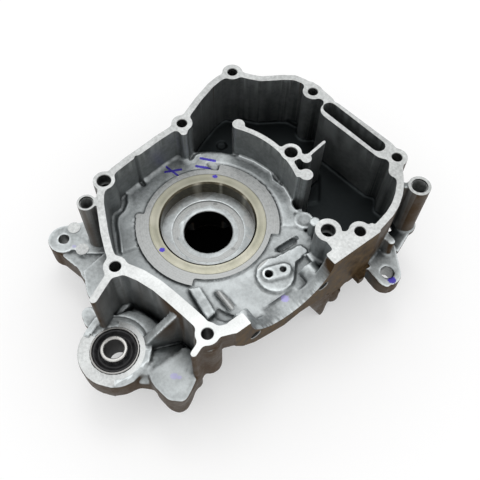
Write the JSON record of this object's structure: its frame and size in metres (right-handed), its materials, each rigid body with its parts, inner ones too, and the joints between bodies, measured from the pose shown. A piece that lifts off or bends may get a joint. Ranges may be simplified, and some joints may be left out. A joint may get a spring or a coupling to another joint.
{
  "type": "engine crankcase half",
  "caption": "Die-cast crankcase half with a cast-in steel bearing ring, oil chamber, half bore for the barrel, fixing ears and a rubber hanger bush.",
  "frame": {"origin": "crank axis at the shoulder of the crank bearing seat", "axes": "+Z along the crank axis to the parting face, +X along the cylinder to the barrel face"},
  "size_m": [0.1861, 0.2421, 0.084],
  "materials": {
    "cast_aluminium": "as cast, machined faces bright",
    "insert_steel": "turned steel, faint straw tint",
    "sleeve_steel": "plain drawn tube",
    "bush_rubber": "moulded, satin",
    "inner_steel": "turned, bright"
  },
  "bodies": {
    "root": {"crankcase_casting": "cast_aluminium", "bearing_insert": "insert_steel", "bush_outer_sleeve": "sleeve_steel", "bush_rubber": "bush_rubber", "bush_inner_sleeve": "inner_steel"}
  },
  "joints": []
}
